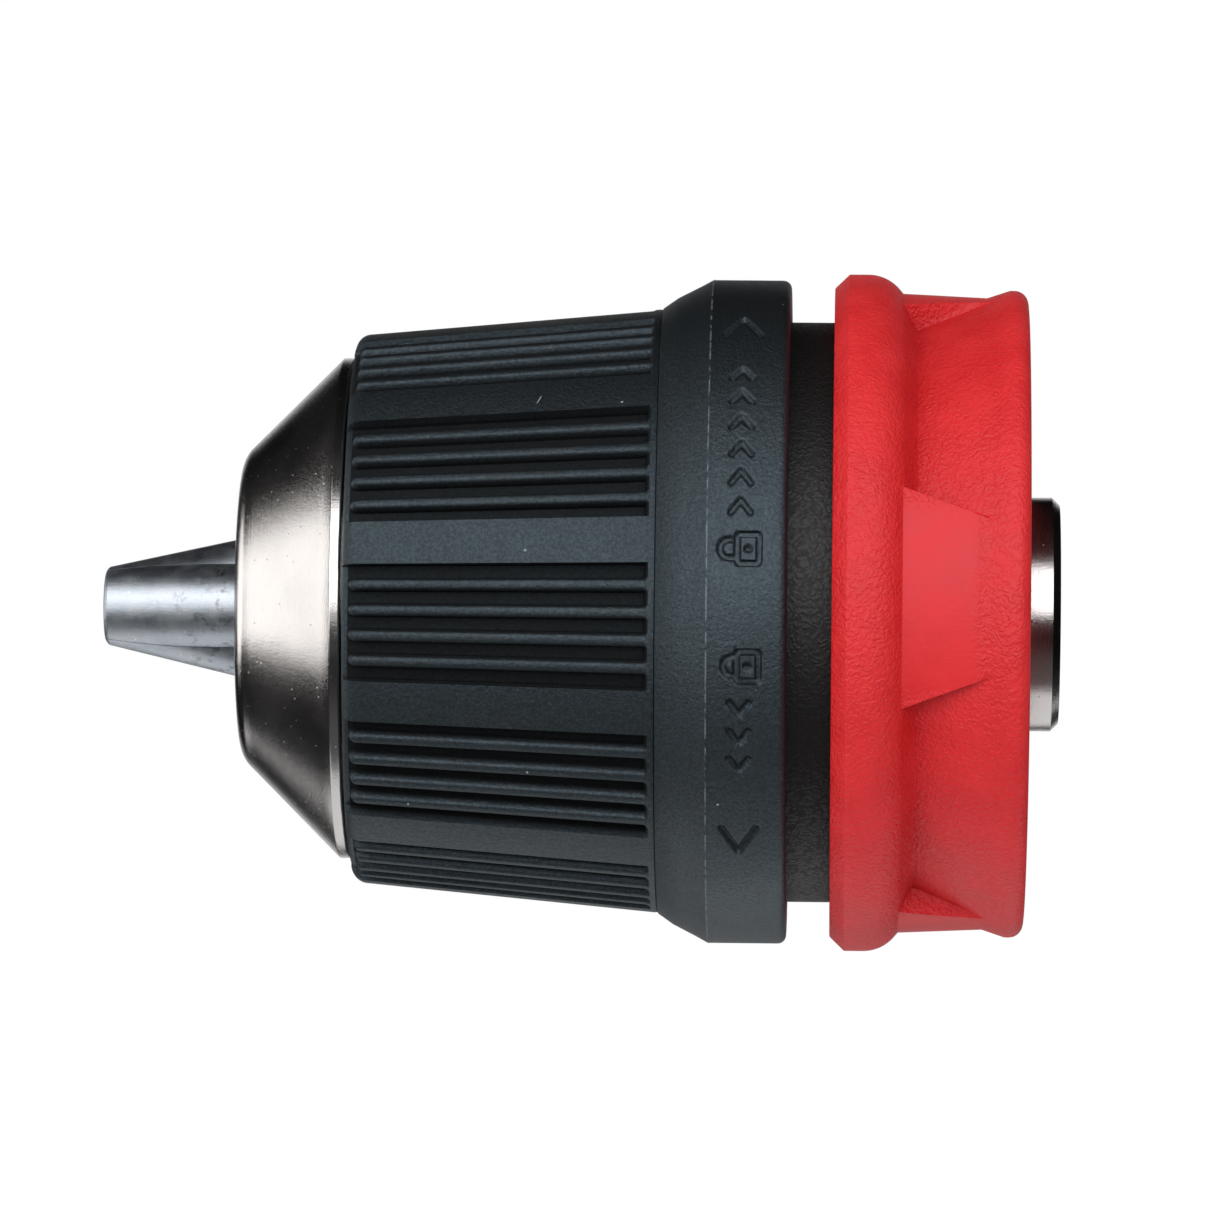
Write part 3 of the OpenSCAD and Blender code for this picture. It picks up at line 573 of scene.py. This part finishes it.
groove_rows = [GROOVE_REAR_S + GROOVE_END * k / 5 for k in range(6)]
turned("grip_sleeve_shell", "sleeve", ["grip_sleeve"], "black_plastic", [
    (SLEEVE_BACK_S, SLEEVE_BORE_R), (SLEEVE_BACK_S, SLEEVE_SPIGOT_R),
    (SLEEVE_REAR_S, SLEEVE_SPIGOT_R), (SLEEVE_REAR_S, SLEEVE_REAR_R - 0.12),
    (SLEEVE_REAR_S + 0.05, SLEEVE_REAR_R - 0.04), (SLEEVE_REAR_S + 0.14, SLEEVE_REAR_R - 0.02),
    *[(s, sleeve_cone(s)) for s in groove_rows],
    *[(s, sleeve_cone(s)) for s in np.linspace(28.4, SLEEVE_CORNER_S - 0.1, 10)],
    *arc(SLEEVE_CORNER_S, SLEEVE_FRONT_R - SLEEVE_ROUND, SLEEVE_ROUND, 0, 90, 16),
    (SLEEVE_FRONT_S, SLEEVE_LIP_R + 0.1), (SLEEVE_FRONT_S - 0.1, SLEEVE_LIP_R),
    (SLEEVE_LIP_S, SLEEVE_LIP_R), (SLEEVE_LIP_S, SLEEVE_MID_R), (DOG_ROOM_S, SLEEVE_MID_R),
    (DOG_ROOM_S, DOG_ROOM_R), (DOG_S[1] + 0.1, DOG_ROOM_R), (DOG_S[1], DOG_ROOM_R),
    (DOG_S[0], DOG_ROOM_R), (DOG_S[0] - 0.1, DOG_ROOM_R), (PAWL_ROOM_S[1], DOG_ROOM_R),
    (PAWL_ROOM_S[1], PAWL_ROOM_R), (PAWL_ROOM_S[0], PAWL_ROOM_R), (PAWL_ROOM_S[0], SLEEVE_BORE_R),
], sleeve_angles(), sink=sleeve_sink, sharp=40)


# ---------------------------------------------------------------- locking collar

def to_line(u, v, a, b):
    """Distance to the straight stroke from a to b."""
    ab = (b[0] - a[0], b[1] - a[1])
    share = ((u - a[0]) * ab[0] + (v - a[1]) * ab[1]) / (ab[0] ** 2 + ab[1] ** 2)
    share = np.clip(share, 0, 1)
    return np.hypot(u - a[0] - share * ab[0], v - a[1] - share * ab[1])


def to_padlock(u, v, lift):
    """Distance to a padlock's strokes; its top is along +v, and lift opens the shackle."""
    past_u, past_v = np.abs(u) - 0.75, np.abs(v + 0.52) - 0.5
    body = np.hypot(np.maximum(past_u, 0), np.maximum(past_v, 0))
    edge = np.abs(body - 0.2 + np.minimum(np.maximum(past_u, past_v), 0))
    leg, top = 0.6, 0.42 + lift
    bow = np.where(v > top, np.abs(np.hypot(u, v - top) - leg), FAR)
    left = to_line(u, v, (-leg, 0.2), (-leg, top))
    right = to_line(u, v, (leg, 0.2 + (lift and 0.42)), (leg, top))
    keyhole = to_line(u, v, (0, -0.45), (0, -0.6))
    return np.minimum.reduce([edge, bow, left, right, keyhole])


def collar_sink(S, R, A):
    """Depth of the marks, which stand twice round the collar."""
    v = S - MARK_S
    half_turn = (A + 90) % 180 - 90
    half_turn = np.where(half_turn > MARK_SPAN[1] + 5, half_turn - 180, half_turn)
    near = np.full(S.shape, FAR)

    def u_from(angle):
        return np.radians(half_turn - angle) * COLLAR_R

    arrows = [(LOCK_ARROW, -1, BIG_ARROW), (UNLOCK_ARROW, 1, BIG_ARROW)]
    arrows += [(angle, -1, SMALL_ARROW) for angle in LOCK_STEPS]
    arrows += [(angle, 1, SMALL_ARROW) for angle in UNLOCK_STEPS]
    for angle, tip, (length, width) in arrows:
        for side in (-1, 1):
            near = np.minimum(near, to_line(u_from(angle), v, (length * tip, 0),
                                            (-length * tip, width * side)))
    for angle, lift in ((CLOSED_AT, 0.0), (OPEN_AT, SHACKLE_LIFT)):
        near = np.minimum(near, to_padlock(u_from(angle), v, lift))
    cut = np.clip((STROKE / 2 - near) / 0.1 + 0.5, 0, 1)
    return np.where((R > COLLAR_R - 0.01) & (np.abs(v) < MARK_HALF), cut * MARK_DEPTH, 0)


fine_angles = np.arange(MARK_SPAN[0], MARK_SPAN[1], 0.33)
plain_angles = np.arange(MARK_SPAN[1], 180 + MARK_SPAN[0], 1.5)
collar_angles = [a + turn for turn in (0, 180) for a in (*fine_angles, *plain_angles)]
turned("lock_collar_shell", "sleeve", ["lock_collar"], "black_plastic", [
    (COLLAR_REAR_S, COLLAR_BORE_R),
    *arc(COLLAR_REAR_S + COLLAR_ROUND, COLLAR_R - COLLAR_ROUND, COLLAR_ROUND, -90, 0, 6),
    (18.9, COLLAR_R), (BAND_REAR_S, COLLAR_R),
    *rows(BAND_REAR_S, COLLAR_R, BAND_FRONT_S, COLLAR_R, BAND_STEP),
    (22.78, COLLAR_R), (22.86, 21.87), (22.94, 21.83), *rows(*COLLAR_CONE, 1.2),
    *arc(25.1, 20.4, 0.26, 27, 40, 2), (26.15, 19.98), (COLLAR_FRONT_S, 19.92),
    (COLLAR_FRONT_S, COLLAR_BORE_R),
], collar_angles, sink=collar_sink, sharp=50)


# ---------------------------------------------------------------- release ring

def land_half(S):
    """Half the angle of a land, which narrows rearwards."""
    along = np.clip((S - SCOOP_REAR_S) / (SCOOP_WALL_S - SCOOP_REAR_S), 0, 1)
    return LAND_REAR + (LAND_FRONT - LAND_REAR) * along


def ring_swing(S, A):
    """Moves a ring angle so that one column follows each land's edge."""
    part = 360 / LANDS
    half = land_half(S)
    off = (A + part / 2) % part - part / 2
    away = np.abs(off)
    inside = away / LAND_FRONT * half
    outside = part / 2 - (part / 2 - away) / (part / 2 - LAND_FRONT) * (part / 2 - half)
    return LAND_AT + A - off + np.sign(off) * np.where(away <= LAND_FRONT, inside, outside)


def ring_sink(S, R, A):
    """Depth of the finger scoops between the lands."""
    part = 360 / LANDS
    half = land_half(S)
    away = np.abs((A - LAND_AT + part / 2) % part - part / 2) - half
    wall = np.clip(away / SIDE_ANGLE, 0, 1)
    wall = 1 - (1 - wall) ** SIDE_POWER
    floor = FOOT_R + (FOOT_S - S) * FLARE - SCOOP_STEP
    last = FOOT_R + (FOOT_S - SCOOP_FLOOR_S) * FLARE - SCOOP_STEP
    up = np.clip((S - SCOOP_FLOOR_S) / (SCOOP_WALL_S - SCOOP_FLOOR_S), 0, 1)
    floor = np.where(S > SCOOP_FLOOR_S, last + (LAND_R - last) * up ** RISE_POWER, floor)
    outside = (R > 20.5) & (S >= SCOOP_REAR_S) & (S <= SCOOP_WALL_S)
    return np.where(outside, np.maximum(R - floor, 0) * wall, 0)


def ring_angles():
    """Angles of one land and one scoop, dense beside the land's edges, repeated all round."""
    land = np.linspace(-LAND_FRONT, LAND_FRONT, 26)
    walls = [LAND_FRONT + a for a in (0.12, 0.28, 0.45, 0.65, 1.0)]
    middle = np.linspace(walls[-1], 360 / LANDS - walls[-1], 32)[1:-1]
    part = [*land, *walls, *middle, *[360 / LANDS - a for a in reversed(walls)]]
    return [a + k * 360 / LANDS for k in range(LANDS) for a in part]


turned("release_ring_shell", "release", ["release_ring"], "red_plastic", [
    (RING_REAR_S, RING_HUB_R), (RING_REAR_S, 16),
    *arc(RING_REAR_S + RING_REAR_ROUND, RING_REAR_R - RING_REAR_ROUND, RING_REAR_ROUND, -90, 0, 8),
    (RING_BAND_S, RING_REAR_R), *rows(RING_BAND_S, RING_REAR_R, SCOOP_REAR_S, RING_BAND_R, 0.4),
    *rows(SCOOP_REAR_S, RING_BAND_R, FOOT_S, FOOT_R, 0.2),
    *rows(FOOT_S, FOOT_R, SCOOP_FLOOR_S, LAND_REAR_R, 0.7),
    *rows(SCOOP_FLOOR_S, LAND_REAR_R, SCOOP_WALL_S, LAND_R, 0.12),
    *arc(RIM_CURVE_S, RIM_CURVE_R, RIM_CURVE, -51, 0, 12),
    *arc(13.9, RIM_CURVE_R + RIM_CURVE - 0.1, 0.1, 0, 45, 2),
    *rows(13.97, RIM_CURVE_R + RIM_CURVE - 0.03, RING_FRONT_S - 0.07, 21.43, 0.5),
    *arc(RING_FRONT_S - 0.1, RING_REAR_R, 0.1, 60, 90, 1),
    (RING_FRONT_S, RING_BORE_R + 0.1), (RING_FRONT_S - 0.1, RING_BORE_R),
    (SCOOP_WALL_S, RING_BORE_R), (SCOOP_WALL_S, RING_CAVITY_R), (RING_WEB_S, RING_CAVITY_R),
    (RING_WEB_S, RING_BOSS_R), (RING_BOSS_S, RING_BOSS_R), (RING_BOSS_S, RING_HUB_R),
], ring_angles(), sink=ring_sink, swing=ring_swing, sharp=34)


# ---------------------------------------------------------------- release spring

# It shortens as the release ring slides; here it is built once as a fixed coil.
spring = coil("release_spring_coil", ["release_spring"], "hardened_steel",
              (SPRING_REAR_S + WIRE_R, SPRING_REAR_R), (SPRING_FRONT_S - WIRE_R, SPRING_FRONT_R),
              WIRE_R, SPRING_TURNS)
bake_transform(spring)


# ---------------------------------------------------------------- carried-over CAD nodes

slot_of = {row["node"]: row["material_slot"] for row in frame["record"]["subparts"]}
for name, piece in frame["nodes"].items():
    if piece.hide_render:
        continue
    piece.data.materials.clear()
    piece.data.materials.append(SLOT_MATERIALS[slot_of[name]])
    if name.startswith("jaw_"):
        weld = piece.modifiers.new("weld", "WELD")
        weld.merge_threshold = JAW_WELD * MM
        edges = piece.modifiers.new("worn_edges", "BEVEL")
        edges.width, edges.segments = JAW_EDGE * MM, 2
        edges.limit_method, edges.angle_limit = "ANGLE", math.radians(JAW_EDGE_ANGLE)
        piece.modifiers.new("shading", "WEIGHTED_NORMAL").keep_sharp = True


# ---------------------------------------------------------------- stage, lights, camera

def soft_box(name, at, aim, size, radiance, tint=(1, 1, 1)):
    """A rectangular area light at a place, aimed at another, with the given brightness."""
    light = bpy.data.lights.new(name, "AREA")
    light.shape = "RECTANGLE"
    light.size, light.size_y = size
    light.energy = radiance * math.pi * size[0] * size[1]
    light.color = tint
    lamp = bpy.data.objects.new(name, light)
    lamp.location = at
    lamp.rotation_mode = "QUATERNION"
    lamp.rotation_quaternion = (Vector(aim) - Vector(at)).to_track_quat("-Z", "Y")
    lamp.visible_camera = False
    bpy.context.scene.collection.objects.link(lamp)


# Places in this section are in metres.
CENTRE = (-0.03, 0, 0)
CAMERA_AT, CAMERA_AIM = (-0.0134, -0.594, 0.0), (-0.02977, 0, 0.00023)
CAMERA_ROLL, LENS_MM, SENSOR_MM = 0.53, 267, 36
FLOOR_HALF, FLOOR_Z = 0.8, -0.12

soft_box("key", (0.0, -0.73, 0.32), CENTRE, (1.3, 0.70), 2.6)
soft_box("front_left", (-0.60, -0.50, 0.22), CENTRE, (0.46, 0.85), 1.9)
soft_box("side", (-0.72, 0.16, 0.055), CENTRE, (0.5, 0.42), 1.85, (1.0, 0.985, 0.96))
soft_box("under", (-0.03, 0.25, -0.6), CENTRE, (1.3, 0.8), 0.85)

# The camera sees white and matt surfaces get an even fill. Reflections see a dark room that is
# bright behind the chuck and a little lighter below it.
world = bpy.data.worlds.new("studio")
bpy.context.scene.world = world
world.use_nodes = True
sky = world.node_tree
direction = node(sky, "ShaderNodeSeparateXYZ",
                 {0: node(sky, "ShaderNodeTexCoord").outputs["Generated"]})
behind = ramp(sky, direction.outputs[1], 0.9, 0.99, 0.0, 0.8)
below = ramp(sky, direction.outputs[2], -0.35, -0.95, 0.0, 0.1)
room = calc(sky, "ADD", calc(sky, "ADD", behind, below), 0.004)
path = node(sky, "ShaderNodeLightPath")
fill = calc(sky, "MULTIPLY", path.outputs["Is Diffuse Ray"], 0.8)
seen = calc(sky, "MAXIMUM", path.outputs["Is Camera Ray"], fill)
sky.links.new(calc(sky, "MAXIMUM", room, seen), sky.nodes["Background"].inputs["Strength"])
sky.nodes["Background"].inputs["Color"].default_value = (1, 1, 1, 1)

floor_mesh = bpy.data.meshes.new("floor")
floor_mesh.from_pydata([(x * FLOOR_HALF, y * FLOOR_HALF, FLOOR_Z)
                        for x, y in ((-1, -1), (1, -1), (1, 1), (-1, 1))], [], [(0, 1, 2, 3)])
floor = bpy.data.objects.new("floor", floor_mesh)
bpy.context.scene.collection.objects.link(floor)
pale = Finish("pale_floor")
pale.put(Base_Color=blend(pale.tree, noise(pale.tree, pale.mm, 0.01), (0.88, 0.88, 0.88),
                          (0.92, 0.92, 0.92)), Roughness=0.9,
         Emission_Color=(1.0, 1.0, 1.0), Emission_Strength=0.25)
floor_mesh.materials.append(pale.material)
floor.visible_diffuse = floor.visible_glossy = floor.visible_shadow = False

camera_data = bpy.data.cameras.new("camera")
camera_data.lens, camera_data.sensor_width = LENS_MM, SENSOR_MM
camera_data.clip_start, camera_data.clip_end = 0.01, 20
camera = bpy.data.objects.new("camera", camera_data)
camera.location = CAMERA_AT
camera.rotation_mode = "QUATERNION"
aim = (Vector(CAMERA_AIM) - camera.location).to_track_quat("-Z", "Y")
camera.rotation_quaternion = aim @ Quaternion((0, 0, 1), math.radians(CAMERA_ROLL))
bpy.context.scene.collection.objects.link(camera)
bpy.context.scene.camera = camera
bpy.context.scene.view_settings.view_transform = "Standard"
